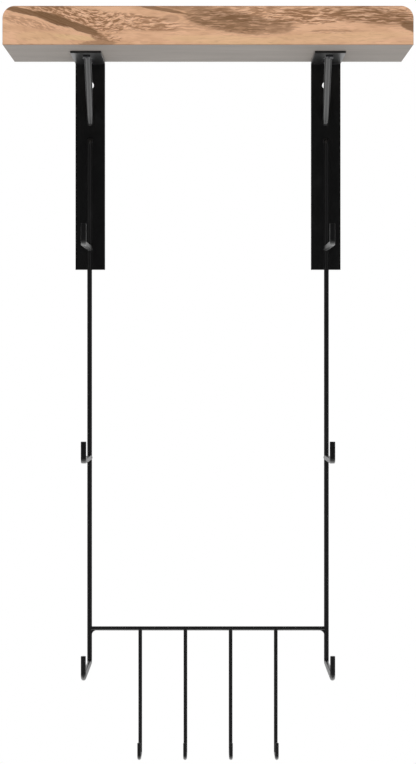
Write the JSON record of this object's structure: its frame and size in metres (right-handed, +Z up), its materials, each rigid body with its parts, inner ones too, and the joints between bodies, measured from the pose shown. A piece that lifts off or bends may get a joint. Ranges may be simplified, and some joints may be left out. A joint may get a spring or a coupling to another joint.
{
  "type": "wall shelf rack with hooks",
  "caption": "Wall-hung rack: a thick wooden shelf on steel angle brackets, with rods below that carry forward hooks and a row of hooked prongs.",
  "frame": {"origin": "centre of the board's back face, on the wall plane", "axes": "+X to the right seen from the front, +Y into the wall, +Z up"},
  "size_m": [0.4, 0.15, 0.7516],
  "materials": {
    "wood": "light rustic board with dark figure, matt clear coat",
    "coated_steel": "black powder coat, satin",
    "screw": "black coated wood screw, satin"
  },
  "bodies": {
    "root": {"shelf_board": "wood", "cross_bar": "coated_steel", "prong_1": "coated_steel", "prong_2": "coated_steel", "prong_3": "coated_steel", "prong_4": "coated_steel", "bracket_left": "coated_steel", "brace_left": "coated_steel", "side_rod_left": "coated_steel", "rod_spacer_left": "coated_steel", "upper_hook_left": "coated_steel", "middle_hook_left": "coated_steel", "shelf_screw_left_rear": "screw", "shelf_screw_left_front": "screw", "bracket_right": "coated_steel", "brace_right": "coated_steel", "side_rod_right": "coated_steel", "rod_spacer_right": "coated_steel", "upper_hook_right": "coated_steel", "middle_hook_right": "coated_steel", "shelf_screw_right_rear": "screw", "shelf_screw_right_front": "screw"}
  },
  "joints": []
}
